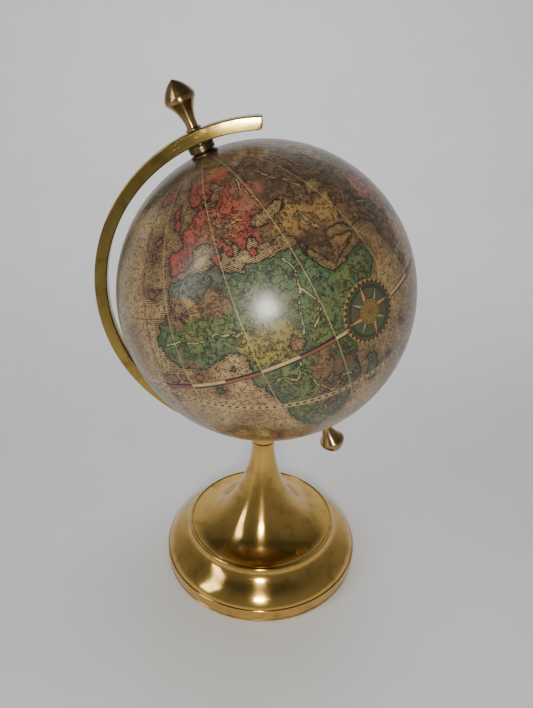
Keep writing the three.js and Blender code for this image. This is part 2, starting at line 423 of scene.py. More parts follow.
def smooth_by_angle(piece, degrees=32):
    mesh = piece.data
    mesh.polygons.foreach_set("use_smooth", [True] * len(mesh.polygons))
    mesh.set_sharp_from_angle(angle=math.radians(degrees))


def turned(name, profile, material, body, frame_of=Matrix.Identity(4), segments=160):
    """A closed turned solid. The profile is a loop of (radius, height), anticlockwise."""
    count = len(profile)
    vertices = []
    for step in range(segments):
        angle = 2 * math.pi * step / segments
        for radius, height in profile:
            place = Vector((radius * math.cos(angle), radius * math.sin(angle), height))
            vertices.append(frame_of @ place)
    faces = []
    for step in range(segments):
        here = step * count
        there = (step + 1) % segments * count
        for i in range(count):
            j = (i + 1) % count
            faces.append((here + i, there + i, there + j, here + j))
    piece = new_piece(name, vertices, faces, material, body)
    smooth_by_angle(piece)
    return piece


def polar_frame(upside_down=False):
    """The frame on the ball's centre whose +Z is the upper, or the lower, polar axis."""
    turn = Matrix.Rotation(-AXIS_TILT, 4, "Y")
    flip = Matrix.Rotation(math.pi if upside_down else 0, 4, "X")
    return Matrix.Translation(BALL_CENTRE) @ turn @ flip


# ---- Foot and stem ----
def foot_shell(material):
    """The spun foot: plate with a beaded edge, ogee shoulder, edge bead, wall and rolled rim."""
    bead = 1 * MM
    edge_bead = 0.7 * MM
    rim = 0.9 * MM
    plate = (PLATE_RADIUS, PLATE_HEIGHT)
    edge = (FOOT_RADIUS, 9.8 * MM)
    roll = (FOOT_RADIUS, rim + 0.4 * MM)
    lining = FOOT_RADIUS - FOOT_WALL
    profile = [(TIE_HOLE, PLATE_HEIGHT), beside(plate, -2.2, 0)]
    profile += arc(PLATE_RADIUS - bead, PLATE_HEIGHT - 0.5 * MM, bead, 150, -45, 18)
    profile += bezier(beside(plate, -0.1, -1.6), beside(plate, 0.8, -7.9),
                      beside(edge, -3.4, 7.7), beside(edge, -0.9, 0.35), 48)
    profile += arc(edge[0] - edge_bead, edge[1] - edge_bead, edge_bead, 100, -20, 12)
    profile += [beside(edge, -0.12, -1.6), beside(roll, -0.14, 2.4)]
    profile += [beside(roll, -0.3, 1.2), beside(roll, -0.52, 0.85)]
    profile += arc(FOOT_RADIUS - 0.2 * MM - rim, roll[1], rim, 50, -180, 16)
    profile += [beside((lining, roll[1]), -0.5, 1.5), beside((lining, roll[1]), 0, 2.5)]
    profile += [beside((lining, edge[1]), 0, -2)]
    profile += bezier(beside((lining, edge[1]), -1, -0.6), beside(edge, -4.9, 6.4),
                      beside(plate, -0.7, -9), beside(plate, -1.7, -2.8), 16)
    profile += [(PLATE_RADIUS - 2.6 * MM, PLATE_HEIGHT - FOOT_WALL)]
    profile += [(TIE_HOLE, PLATE_HEIGHT - FOOT_WALL)]
    piece = turned("foot", profile[::-1], material, "stand", segments=256)
    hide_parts("foot_shell")


def stem(material):
    """The trumpet, whose flare runs out flat on the plate to the bead."""
    bottom = PLATE_HEIGHT + GAP
    flare = (STEM_FLARE, bottom)
    neck = (STEM_NECK, STEM_TOP)
    profile = [beside(flare, -20, 0), beside(flare, -0.1, 0), beside(flare, 0, 0.1)]
    profile += bezier(beside(flare, -0.1, 0.25), (18 * MM, bottom),
                      (5 * MM, 76 * MM), beside(neck, 0, -0.6), 96)
    profile += [beside(neck, -0.15, -0.15), beside(neck, -0.6, 0)]
    profile += [(TIE_HOLE, STEM_TOP), (TIE_HOLE, bottom + 20 * MM)]
    piece = turned("stem", profile, material, "stand", segments=192)
    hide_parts("stem_trumpet")


def saddle(material):
    """The slotted cup between the stem and the arm."""
    low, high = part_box("arm_saddle")
    radius = high[0]
    bottom, top = low[2], high[2]
    base_edge = 1.2 * MM
    rim_edge = 0.8 * MM
    profile = [(TIE_HOLE, bottom), (STEM_NECK - 0.4 * MM, bottom), (STEM_NECK, bottom + 0.3 * MM)]
    profile += arc(radius - base_edge, bottom + 0.4 * MM + base_edge, base_edge, -60, 0, 6)
    profile += arc(radius - rim_edge, top - rim_edge, rim_edge, 0, 90, 8)
    profile += [(TIE_HOLE, top)]
    piece = turned("saddle", profile, material, "stand", segments=128)
    bpy.ops.mesh.primitive_cylinder_add(
        vertices=480, radius=ARM_OUTER + GAP, depth=ARM_WIDTH + 2 * GAP,
        location=BALL_CENTRE, rotation=(math.pi / 2, 0, 0))
    slot = bpy.context.object
    cut = piece.modifiers.new("slot", "BOOLEAN")
    cut.operation = "DIFFERENCE"
    cut.object = slot
    cut.solver = "EXACT"
    with bpy.context.temp_override(object=piece, active_object=piece):
        bpy.ops.object.modifier_apply(modifier="slot")
    bpy.data.objects.remove(slot)
    smooth_by_angle(piece)
    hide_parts("arm_saddle")


# ---- Arm ----
def arm_section(from_end):
    """The bar's section as (radius, across) points, at a length from its nearer end."""
    edge = 0.7 * MM
    corner = 2.2 * MM
    rise = corner - math.sqrt(max(corner ** 2 - max(corner - from_end, 0) ** 2, 0))
    pinch = 0.35 * MM * max(1 - from_end / (0.4 * MM), 0) ** 2
    inner = ARM_INNER + rise + pinch + edge
    outer = ARM_OUTER - pinch - edge
    half = ARM_WIDTH / 2 - pinch - edge
    section = []
    for radius, across, first in ((outer, half, 90), (outer, -half, 0),
                                  (inner, -half, -90), (inner, half, 180)):
        for turn in np.radians(np.linspace(first, first - 90, 6)):
            section.append((radius + edge * math.cos(turn), across + edge * math.sin(turn)))
    return section


def arm(material):
    """A bar with rounded edges swept round the ball, its ends rounded on the inner side."""
    steps = 220
    span = math.pi + 2 * ARM_OVERHANG
    start = math.pi / 2 + AXIS_TILT - ARM_OVERHANG
    end_cuts = [0.0, 0.15, 0.4, 0.8, 1.4, 2.2]  # distances from each end, mm
    ends = [distance * MM / ARM_OUTER for distance in end_cuts]
    middle = list(np.linspace(ends[-1], span - ends[-1], steps))[1:-1]
    angles = ends + middle + [span - angle for angle in ends[::-1]]
    vertices = []
    for angle in angles:
        direction = Vector((math.cos(start + angle), 0, math.sin(start + angle)))
        section = arm_section(min(angle, span - angle) * ARM_OUTER)
        for radius, across in section:
            vertices.append(BALL_CENTRE + direction * radius + Vector((0, across, 0)))
    ring = len(section)
    faces = []
    for here in range(0, (len(angles) - 1) * ring, ring):
        there = here + ring
        for i in range(ring):
            j = (i + 1) % ring
            faces.append((here + i, here + j, there + j, there + i))
    faces.append(tuple(range(ring))[::-1])
    faces.append(tuple(range(len(vertices) - ring, len(vertices))))
    piece = new_piece("arm", vertices, faces, material, "stand")
    smooth_by_angle(piece, 40)
    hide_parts("meridian_arm")


# ---- Pieces on the polar axis ----
def finial(name, node, upside_down, material):
    """The turned knob on the axle: collar, waist, flared shoulder and pointed cap."""
    foot = ARM_OUTER + GAP

    def at(radius, height):
        return radius * MM, foot + height * MM

    bore = 13 * MM
    profile = [(ON_AXIS, foot + bore), (AXLE_HOLE, foot + bore), (AXLE_HOLE, foot), at(3.8, 0)]
    profile += arc(3.6 * MM, foot + 0.45 * MM, 0.4 * MM, -90, 90, 8)
    profile += bezier(at(2.9, 1.4), at(2.6, 6), at(4.0, 9.2), at(6.7, 12.9), 28)
    profile += arc(4.7 * MM, foot + 15.2 * MM, 3 * MM, -46, 38, 20)
    profile += bezier(at(6.95, 17.3), at(6.2, 18.8), at(4.3, 21.9), at(0.6, 23.75), 22)
    profile += [at(0.3, 23.9), (ON_AXIS, foot + 23.95 * MM)]
    piece = turned(name, profile, material, "stand", polar_frame(upside_down), 96)
    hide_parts(node)


def spacer(name, node, upside_down, material):
    """The collar on the axle between the arm and the ball's cap."""
    bottom = BALL_RADIUS + 1.9 * MM
    top = ARM_INNER - 0.4 * MM
    rounding = 0.5 * MM
    outer = 6.6 * MM
    profile = [(AXLE_HOLE, bottom)]
    profile += arc(outer - rounding, bottom + rounding, rounding, -90, 0, 6)
    profile += arc(outer - rounding, top - rounding, rounding, 0, 90, 6)
    profile += [(AXLE_HOLE, top)]
    piece = turned(name, profile, material, "stand", polar_frame(upside_down), 72)
    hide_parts(node)


def pole_cap(name, node, upside_down, material):
    """The domed disc that covers the gores' tips at a pole."""
    seat = BALL_RADIUS + GAP
    edge = (7 * MM, BALL_RADIUS)
    radii = np.linspace(AXLE_HOLE, edge[0] - 0.15 * MM, 8)
    profile = [(radius, math.sqrt(seat ** 2 - radius ** 2)) for radius in radii]
    profile += arc(edge[0] - 0.35 * MM, edge[1] + 0.4 * MM, 0.35 * MM, -30, 75, 8)
    profile += bezier(beside(edge, -0.7, 0.9), beside(edge, -1.6, 1.3),
                      beside(edge, -3, 1.5), (AXLE_HOLE, BALL_RADIUS + 1.6 * MM), 10)
    piece = turned(name, profile, material, "ball", polar_frame(upside_down), 96)
    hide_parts(node)


def ball_core(name, node, upside_down, material):
    """Half of the ball under the paper: a pressed card shell, open at the pole."""
    outer = BALL_RADIUS - PAPER - 0.02 * MM
    inner = BALL_RADIUS - BALL_WALL
    seam = math.degrees(0.05 * MM / BALL_RADIUS)
    pole = 90 - math.degrees(AXLE_HOLE / BALL_RADIUS)
    profile = arc(0, 0, outer, seam, pole, 60) + arc(0, 0, inner, pole, seam, 30)
    piece = turned(name, profile, material, "ball", polar_frame(upside_down), 160)
    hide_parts(node)


def felt(material):
    """The felt disc glued under the foot, with softly rounded, slightly uneven cut edges."""
    low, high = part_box("felt_pad")
    radius = high[0] - 0.3 * MM
    rounding = 0.5 * MM
    ripples = ((7, 0, 0.5), (19, 1, 0.3), (41, 0, 0.2))  # waves round the edge, phase, share
    profile = [(ON_AXIS, low[2]), (radius - 12 * MM, low[2])]
    profile += arc(radius - rounding, low[2] + rounding, rounding, -90, 0, 5)
    profile += arc(radius - rounding, high[2] - rounding, rounding, 0, 90, 5)
    profile += [(ON_AXIS, high[2])]
    piece = turned("felt", profile, material, "stand", segments=240)
    for vertex in piece.data.vertices:
        angle = math.atan2(vertex.co.y, vertex.co.x)
        ripple = sum(part * math.sin(waves * angle + phase) for waves, phase, part in ripples)
        share = max(vertex.co.to_2d().length / radius - 0.9, 0) * 10
        vertex.co.xy *= 1 + share * ripple * 0.25 * MM / radius
    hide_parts("felt_pad")


# ---- The map: outlines in degrees of longitude and latitude ----
AFRICA = [
    (-10, 34), (-2, 35), (6, 34.5), (10, 36), (11, 33), (15, 31.5), (19, 30), (21, 32.5), (26, 31.5),
    (31, 31), (35, 31), (40.5, 31), (42, 27), (43.5, 22), (45.5, 18.5), (49, 18.5), (53, 19),
    (58, 20.5), (62, 21), (64, 18), (62, 13), (57, 9), (53, 4), (48, -1), (44, -6), (42, -12),
    (43, -18), (38, -23), (35, -29), (29, -34), (21, -36), (16, -31), (14, -23), (14, -16),
    (12, -9), (8, -4), (9.5, 1), (10, 5), (7, 8.5), (3, 8), (-1, 6.5), (-5, 4.5), (-10, 6),
    (-15, 7), (-19, 11), (-21, 16), (-18, 21), (-12, 25.5), (-12, 30),
]
EURASIA = [
    (-9.5, 36.5), (-5, 36), (0, 38.5), (3, 43), (8, 44), (11, 43), (14, 40), (17, 36.5),
    (18.5, 39.5), (14, 44.5), (19, 42), (21, 37), (23.5, 36.5), (24, 40.5), (27.5, 40), (28, 36.5),
    (34, 36), (39, 36.5), (41, 33), (43, 31.5), (44.8, 27), (47.5, 22), (49, 20), (52, 21),
    (57, 22.5), (61, 24.5), (64, 26), (70, 25.5), (73, 21), (74, 14), (77, 8.5), (80, 13),
    (83, 18), (89, 22), (94, 17), (97, 10), (101, 3), (104, 2), (102, 10), (106, 9), (109, 13),
    (107, 20), (115, 23), (121, 29), (119, 36), (124, 40), (128, 36), (130, 42), (140, 52),
    (150, 59), (162, 57), (165, 62), (178, 66), (170, 70), (150, 73), (125, 74), (105, 77),
    (85, 74), (68, 70), (55, 69), (45, 67), (36, 72), (25, 73), (12, 72), (2, 70), (1, 63),
    (2, 59), (6, 57.5), (8, 56), (4, 53), (0, 50.5), (-4, 48.5), (-2, 46), (-3, 43.5), (-10, 43.5),
]
BRITAIN = [(-7, 50.5), (-4, 50), (-4, 53), (-5.5, 56), (-4.5, 59.5), (-7.5, 58), (-8, 54)]
MADAGASCAR = [(47, -13), (50, -14), (51, -20), (48, -26), (45.5, -24), (46, -18)]
SOUTH_AMERICA = [
    (-80, 8), (-72, 12), (-60, 9), (-50, 1), (-36, -6), (-39, -15), (-48, -26), (-56, -36),
    (-64, -42), (-68, -53), (-75, -50), (-73, -38), (-71, -20), (-80, -6), (-81, 0),
]
NORTH_AMERICA = [
    (-168, 66), (-160, 58), (-148, 60), (-132, 54), (-124, 46), (-122, 36), (-112, 26),
    (-105, 20), (-94, 16), (-84, 9), (-80, 9), (-86, 15), (-90, 21), (-97, 20), (-97, 27),
    (-90, 30), (-82, 26), (-80, 32), (-74, 40), (-66, 44), (-56, 50), (-64, 58), (-78, 62),
    (-82, 54), (-94, 60), (-88, 68), (-110, 70), (-135, 70), (-156, 71),
]
GREENLAND = [(-50, 61), (-42, 62), (-24, 71), (-22, 80), (-45, 83), (-65, 80), (-56, 72)]
AUSTRALIA = [
    (115, -22), (122, -17), (130, -12), (136, -15), (142, -11), (146, -19), (153, -27),
    (148, -38), (138, -35), (130, -32), (116, -34),
]
SOUTHERN_CAPE = [
    (-15, -28), (-9, -24), (-4, -27), (2, -29), (5, -34), (0, -40), (-8, -38), (-14, -36),
]
LANDS = [AFRICA, EURASIA, BRITAIN, MADAGASCAR, SOUTH_AMERICA, NORTH_AMERICA, GREENLAND, AUSTRALIA,
         SOUTHERN_CAPE]

BALTIC = [
    (9, 58), (12, 55), (17, 54.5), (21, 57), (22, 60), (29, 61), (23, 62.5), (21, 65.5), (18, 66),
    (17, 61), (14, 57.5), (11, 59),
]
BLACK_SEA = [
    (29, 42.5), (31, 46), (37, 46.5), (42, 47.5), (49, 46.5), (47, 44.5), (42, 42.5), (36, 42),
    (31, 41.5),
]
CASPIAN = [(59, 42.5), (61, 46.5), (66, 47), (71, 44.5), (69, 41.5), (63, 41)]
PERSIAN_GULF = [(52, 31), (56, 30.5), (62, 28.5), (63, 26), (57, 26), (53, 27.5)]
LAKE = [(23, 5), (26, 7), (29, 4), (27, 1), (24, 2)]
SEAS = [BALTIC, BLACK_SEA, CASPIAN, PERSIAN_GULF, LAKE]

# Round islands and polar lands: longitude, latitude, radius in degrees.
ISLANDS = [
    (0, -90, 26), (60, -68, 14), (-60, -66, 12), (150, -62, 16), (40, 80, 7), (150, 82, 6),
    (-100, 80, 8), (-17.5, 48, 1.2), (-19, 43.3, 1.4), (-17, 32, 1.1), (-20.5, 31.5, 1.6),
    (-22, 2.6, 1.6), (-19, 2.4, 1.1), (-16, 2.6, 0.9), (-9, 2.2, 1.2), (4, 2.8, 0.9), (-24, -4.5, 1.3),
    (-4, -4, 1.2), (10.5, 37.8, 1.2), (13, 38.3, 1.0), (25, 35.2, 1.0), (34, 34.6, 0.9),
    (-17, 65, 3.0), (-21, 64, 2.2), (78, 5, 1.8), (98, -2, 4.5), (104, -6, 4.0), (113, 0, 5.5),
    (122, 10, 3.5), (121, -3, 3.0), (136, -4, 5.5), (142, 40, 3.6), (137, 35, 2.6), (-77, 21, 3.4),
    (-71, 18.5, 2.6), (172, -42, 4.0), (-140, -18, 1.6), (-150, -15, 1.2), (-157, 20, 1.8),
    (66, -12, 1.0), (57, -20, 1.1), (60, 12.5, 0.9), (70, -28, 1.3), (-62, -52, 1.6),
]

RIVERS = [
    [(33, 30.5), (35.5, 25), (34, 19), (38, 13), (37, 10), (33, 6)],
    [(34, 19), (31, 14), (30, 8), (28, 4)],
    [(-20, 14), (-12, 15.5), (-4, 14), (3, 15.5), (9, 13), (14, 14)],
    [(12, -7), (17, -5), (22, -9), (24, -4), (26, 1)],
    [(42, -17), (36, -15), (31, -19), (27, -14), (25, -6)],
    [(24, -32), (27, -26), (25, -21)],
    [(30, 45), (25, 47), (19, 46), (14, 49)],
    [(37, 46.5), (38, 52), (34, 57), (36, 62)],
    [(60, 46), (57, 52), (52, 56), (50, 62)],
    [(54, 31), (49, 34), (46, 39)],
    [(52.5, 31), (50, 36), (49, 40)],
    [(68, 25.5), (70, 32), (74, 37)],
    [(88, 22), (82, 27), (75, 30)],
    [(72, 70), (76, 60), (72, 52)], [(86, 73), (92, 62), (88, 52)], [(124, 73), (122, 62), (110, 54)],
    [(121, 30), (112, 32), (102, 31)], [(119, 37), (110, 39), (101, 36)],
    [(-50, 0), (-58, -3), (-66, -4), (-74, -8)], [(-57, -35), (-58, -26), (-52, -18)],
    [(-90, 30), (-91, 38), (-95, 46)], [(-66, 47), (-76, 44), (-86, 46)],
    [(140, -34), (143, -30), (148, -28)], [(-116, 32), (-111, 38), (-106, 41)],
]

# Colours of the hand-laid washes, and the places, in longitude and latitude, that have them.
FOREST = (0.005, 0.038, 0.017)
GREEN = (0.005, 0.064, 0.028)
LEAF = (0.019, 0.072, 0.016)
YELLOW = (0.150, 0.132, 0.014)
OCHRE = (0.190, 0.100, 0.032)
ORANGE = (0.235, 0.070, 0.028)
RED = (0.235, 0.022, 0.024)
ROSE = (0.215, 0.050, 0.040)
BROWN = (0.085, 0.036, 0.020)
PLUM = (0.040, 0.018, 0.016)
SLATE = (0.018, 0.046, 0.038)
WASHES = {
    FOREST: [(40, -4), (38, -18), (32, -28)],
    GREEN: [(-18, 18), (-16, 11), (2, 11), (-5, 8), (15, 28), (20, 23), (25, 30), (31, 25), (38, 27),
        (36, 20), (41, 15), (57, 17), (54, 11), (44, 2), (29, 9), (14, -4), (27, -4), (16, -13),
        (22, -31), (102, 10), (136, -4), (-60, -16), (-112, 34), (-96, 50), (60, -70)],
    LEAF: [(-6, 16), (3, 17), (11, 17), (26, 16), (50, 15), (46, 10), (33, 3), (35, 9), (19, -6),
        (23, -14), (20, -22), (106, 46), (110, -2), (136, -22), (-50, -6), (-86, 14), (-92, 38),
        (-140, 62), (-40, 70)],
    YELLOW: [(15, 9), (23, 8), (18, 4), (24, 73), (116, 30), (-64, -2), (-100, 24), (150, -66),
        (-3, -32)],
    OCHRE: [(-2, 25), (40, 36), (46, 42), (52, 40), (47, 36), (60, 26), (60, 36), (76, 66), (92, 56),
        (98, 22), (136, 62), (122, -24), (-66, -30), (-72, 48), (-110, 64), (0, -80)],
    ORANGE: [(12, 46), (22, 69), (22, 45), (-11, -29)],
    RED: [(-7, 40), (1, 47), (8, 50), (15, 41), (5, 66), (24, 39), (25, 53), (26, 64), (33, 68),
        (29, 43), (-6, 54), (2, -36), (25, 35.2), (-19, 65)],
    ROSE: [(13, 68), (17, 50), (31, 58), (32, 50), (38, 55), (86, 30), (96, 70), (104, 32), (114, 62),
        (158, 64), (140, 40), (122, 8), (146, -30), (-46, -18), (-76, 4), (-80, 36), (-116, 50),
        (-160, 66), (-60, -70), (-22, 2.6), (-12, 2.4), (-19, 43.3), (-20, 32), (-17.5, 48)],
    BROWN: [(-10, 26), (6, 25), (30, -6), (28, -22), (37, 63), (34, 39), (36, 43), (46, 66), (50, 56),
        (56, 66), (57, 42), (54, 24), (52, 34), (66, 33), (68, 27), (68, 52), (66, 60), (76, 14),
        (88, 42), (122, 48), (-66, -44), (-8, -36), (40, 80)],
    PLUM: [(36, -9), (33, -16), (44, 60), (52, 62), (44, 51), (58, 55), (60, 50), (52, 49), (45, 30),
        (50, 27), (72, 36), (74, 45), (80, 56), (77, 24)],
    SLATE: [(-9, 31), (1, 31), (9, 31), (48, -19), (4, 2.8), (-24, -4.5), (-4, -4)],
}


def on_ball(longitude, latitude):
    """Unit vectors in the map's own frame, for arrays of degrees."""
    east, north = np.radians(longitude), np.radians(latitude)
    flat = np.cos(north)
    return np.stack([flat * np.cos(east), flat * np.sin(east), np.sin(north)], axis=-1)


def chords(outline, closed=True, longest=3.0):
    """The outline's edges as pairs of points on the unit ball, cut into short pieces."""
    corners = np.array(outline + outline[:1] if closed else outline, float)
    points = [corners[:1]]
    for start, end in zip(corners[:-1], corners[1:]):
        pieces = int(np.ceil(np.abs(end - start).max() / longest))
        share = np.arange(1, pieces + 1)[:, None] / pieces
        points.append(start + (end - start) * share)
    path = on_ball(*np.concatenate(points).T)
    return list(zip(path[:-1], path[1:]))


def nearest(points, edges):
    """The way from each point to the nearest place on the edges, in millimetres."""
    best = np.full(len(points), np.inf)
    way = np.zeros_like(points)
    for start, end in edges:
        along = end - start
        share = np.clip((points - start) @ along / (along @ along), 0, 1)
        gap = start + share[:, None] * along - points
        square = np.einsum("ij,ij->i", gap, gap)
        closer = square < best
        best[closer] = square[closer]
        way[closer] = gap[closer]
    return way * BALL_RADIUS / MM


def inside(longitude, latitude, outline):
    """True where a line drawn north crosses the outline an odd number of times."""
    crossed = np.zeros(longitude.shape, bool)
    for (west, south), (east, north) in zip(outline, outline[1:] + outline[:1]):
        if west == east:
            continue
        between = (longitude >= min(west, east)) & (longitude < max(west, east))
        height = south + (longitude - west) * (north - south) / (east - west)
        crossed ^= between & (height > latitude)
    return crossed


def depth_inside(longitude, latitude, points, outline):
    """Distance to the outline in millimetres, more than 0 inside it."""
    distance = np.linalg.norm(nearest(points, chords(outline)), axis=1)
    return np.where(inside(longitude, latitude, outline), distance, -distance)


def coast_depth(longitude, latitude):
    """Distance to the nearest coast in millimetres, more than 0 on land."""
    farthest = -60.0
    points = on_ball(longitude, latitude)
    depth = np.full(longitude.shape, farthest)
    for outline in LANDS:
        depth = np.maximum(depth, depth_inside(longitude, latitude, points, outline))
    for east, north, radius in ISLANDS:
        centre = on_ball(np.array(east), np.array(north))
        away = np.degrees(np.arccos(np.clip(points @ centre, -1, 1)))
        depth = np.maximum(depth, np.radians(radius - away) * BALL_RADIUS / MM)
    for outline in SEAS:
        depth = np.minimum(depth, -depth_inside(longitude, latitude, points, outline))
    return depth


def wash_regions(longitude, latitude):
    """The wash's colour at each point, and the way to the nearest border in millimetres."""
    points = on_ball(longitude, latitude)
    bends = sum(
        np.sin(points @ np.array(waves) + phase)[:, None] * np.array(push)
        for waves, phase, push in (
            ((31, 7, 19), 0.4, (0.010, -0.012, 0.011)), ((-13, 29, 11), 1.9, (-0.012, 0.010, 0.009)),
            ((17, -23, 37), 3.1, (0.008, 0.009, -0.008)), ((61, 43, -29), 4.2, (0.004, 0.005, 0.004)),
            ((-47, 59, 71), 0.9, (-0.004, 0.004, 0.005)),
        )
    )
    bent = points + bends
    places = [place for group in WASHES.values() for place in group]
    seeds = on_ball(*np.array(places, float).T)
    colours = np.array([colour for colour, group in WASHES.items() for place in group])
    distance = np.linalg.norm(bent[:, None] - seeds[None], axis=2)
    order = np.argsort(distance, axis=1)[:, :2]
    first, second = seeds[order[:, 0]], seeds[order[:, 1]]
    apart = second - first
    span = np.linalg.norm(apart, axis=1)
    rows = np.arange(len(points))
    gap = (distance[rows, order[:, 1]] ** 2 - distance[rows, order[:, 0]] ** 2) / (2 * span)
    way = apart / span[:, None] * gap[:, None] * BALL_RADIUS / MM
    return colours[order[:, 0]], way


# ---- Gores ----
def map_to_ball():
    """Turns the map's frame into the part's frame, ball centre at the origin."""
    lean = Matrix.Rotation(-AXIS_TILT, 3, "Y")
    return lean @ Matrix.Rotation(math.radians(-MAP_TURN), 3, "Z")


def gore_grid(middle):
    """Longitudes and latitudes of one gore's grid, row by row from the south."""
    half = GORE_WIDTH / 2
    longitude = np.linspace(middle - half, middle + half, GORE_COLUMNS)
    latitude = np.linspace(-89.2, 89.2, GORE_ROWS)
    return np.meshgrid(longitude, latitude)


def grid_faces(columns, rows):
    """Quads of the outer sheet, of the inner sheet behind it, and of the rim between them."""
    sheet = columns * rows
    outer = []
    for row in range(rows - 1):
        for column in range(columns - 1):
            a = row * columns + column
            outer.append((a, a + 1, a + columns + 1, a + columns))
    inner = [tuple(i + sheet for i in face[::-1]) for face in outer]
    rim = [i for i in range(columns)]
    rim += [row * columns + columns - 1 for row in range(1, rows)]
    rim += [(rows - 1) * columns + column for column in range(columns - 2, -1, -1)]
    rim += [row * columns for row in range(rows - 2, 0, -1)]
    edge = [(j, i, i + sheet, j + sheet) for i, j in zip(rim, rim[1:] + rim[:1])]
    return outer + inner + edge


def store(mesh, name, kind, values):
    """Keeps one value for each point of the outer sheet, and the same for the inner one."""
    layer = mesh.attributes.new(name, kind, "POINT")
    field = {"FLOAT": "value", "FLOAT_VECTOR": "vector", "FLOAT_COLOR": "color"}[kind]
    layer.data.foreach_set(field, np.concatenate([values, values]).astype(np.float32).ravel())


def gore(number, material):
    """One printed paper gore. Its points know their place on the map and on its sheet."""
    middle = FIRST_SEAM + GORE_WIDTH * (number + 0.5)
    trim = 0.02 * MM  # cut off each side
    longitude, latitude = (axis.ravel() for axis in gore_grid(middle))
    half_width = BALL_RADIUS * np.cos(np.radians(latitude)) * math.radians(GORE_WIDTH / 2)
    narrowed = middle + (longitude - middle) * np.clip(1 - trim / half_width, 0.5, 1)
    directions = on_ball(narrowed, latitude) @ np.array(map_to_ball()).T
    centre = np.array(BALL_CENTRE)
    sheets = [centre + directions * radius for radius in (BALL_RADIUS, BALL_RADIUS - PAPER)]
    vertices = np.concatenate(sheets).tolist()
    faces = grid_faces(GORE_COLUMNS, GORE_ROWS)
    piece = new_piece(f"gore_{number + 1}", vertices, faces, material, "ball")
    smooth_by_angle(piece)
    print_gore(piece.data, number, longitude - middle, longitude, latitude)


def print_gore(mesh, number, from_middle, longitude, latitude):
    """Stores what the map's material reads at each point of a gore."""
    across = np.radians(from_middle) * np.cos(np.radians(latitude)) * BALL_RADIUS / MM
    up = np.radians(latitude) * BALL_RADIUS / MM
    slip = 0.35 * math.sin(number * 2.4)  # each gore was pasted a little high or low
    drawn = latitude + slip
    on_map = (longitude + 180) % 360 - 180
    colour, border = wash_regions(on_map, drawn)
    rivers = [edge for river in RIVERS for edge in chords(river, closed=False)]
    store(mesh, "sheet", "FLOAT_VECTOR", np.stack([across, up, 0 * up + number], axis=1))
    store(mesh, "degrees", "FLOAT_VECTOR", np.stack([on_map, drawn, 0 * drawn], axis=1))
    store(mesh, "coast", "FLOAT", coast_depth(on_map, drawn))
    store(mesh, "border", "FLOAT_VECTOR", border)
    store(mesh, "river", "FLOAT_VECTOR", nearest(on_ball(on_map, drawn), rivers))
    store(mesh, "wash", "FLOAT_COLOR", np.concatenate([colour, np.ones((len(colour), 1))], axis=1))


# ---- The map's material ----
PAPER_TAN = (0.340, 0.238, 0.104)
PAPER_BROWN = (0.190, 0.112, 0.046)
PAPER_EDGE = (0.420, 0.310, 0.150)
INK = (0.006, 0.004, 0.003)
INK_BROWN = (0.030, 0.015, 0.009)
INK_RED = (0.180, 0.022, 0.014)
PALE = (0.340, 0.250, 0.115)
COAST_WANDERS = 8.0  # between the innermost and outermost possible places, in mm
EQUATOR_BELOW = 0.85  # degrees that the middle of the printed scale lies below the equator
PRIME_MERIDIAN = -26  # longitude of the mapmaker's own
ECLIPTIC_LEAN = 23.44
ECLIPTIC_LOWEST = 58  # longitude where it is furthest south
ROSES = ((52.5, 0.2), (-125, -8), (-155, 30), (165, -12))  # longitude and latitude


def line(s, distance, width):
    """A line of that width where distance, in millimetres, is near 0. Its edges are soft."""
    return s.step(abs(distance), width / 2 + 0.09, width / 2 - 0.06)


def direction_in_part(longitude, latitude):
    direction = on_ball(np.array(longitude), np.array(latitude))
    return Vector(map_to_ball() @ Vector(direction.tolist()))


def on_paper(s, where, direction):
    """How far the point is from the ball's centre along a direction, in millimetres."""
    return s.vector("DOT_PRODUCT", where, tuple(direction), output=1)


def symbol_cells(s, sheet, size, seed):
    """Scattered symbols' own axes: x and y from the nearest centre, and the centre itself."""
    shifted = s.vector("ADD", sheet, (seed * 13.7, seed * 7.3, 0))
    centre = s.cells(shifted, size, "Position", 0.85)
    x, y = s.split(s.vector("SUBTRACT", shifted, centre))[:2]
    return x, y, centre


def hills(s, sheet):
    """Engraved molehills in ranges: an arch with shading strokes on its right side."""
    x, y, centre = symbol_cells(s, sheet, 3.4, 1)
    there = s.step(s.noise(centre, 13, 1), 0.45, 0.49)
    wide = abs(x) / 1.45
    crest = 0.95 - wide * wide * 1.1
    under = s.step(crest - y, -0.05, 0.08) * s.step(y, -0.4, -0.3) * s.step(wide, 1.0, 0.96)
    arch = line(s, y - crest, 0.42) * s.step(wide, 1.02, 0.95)
    strokes = s.math("PINGPONG", x + y * 0.35, 0.25)
    shade = s.step(strokes, 0.17, 0.07) * under * s.step(x, 0.0, 0.2)
    return there * s.largest(arch, shade), there * under


def trees(s, sheet):
    """Round trees in woods, with a trunk and a shaded right side."""
    x, y, centre = symbol_cells(s, sheet, 2.8, 5)
    there = s.step(s.noise(centre, 9, 1), 0.53, 0.57)
    crown_place = s.math("SQRT", x * x * 1.6 + (y - 0.3) * (y - 0.3))
    crown = s.step(crown_place, 0.62, 0.5)
    rim = line(s, crown_place - 0.55, 0.22)
    trunk = line(s, x, 0.24) * s.step(abs(y + 0.55), 0.45, 0.36)
    return there * s.largest(rim, trunk, crown * s.step(x, 0.0, 0.2)), there * crown


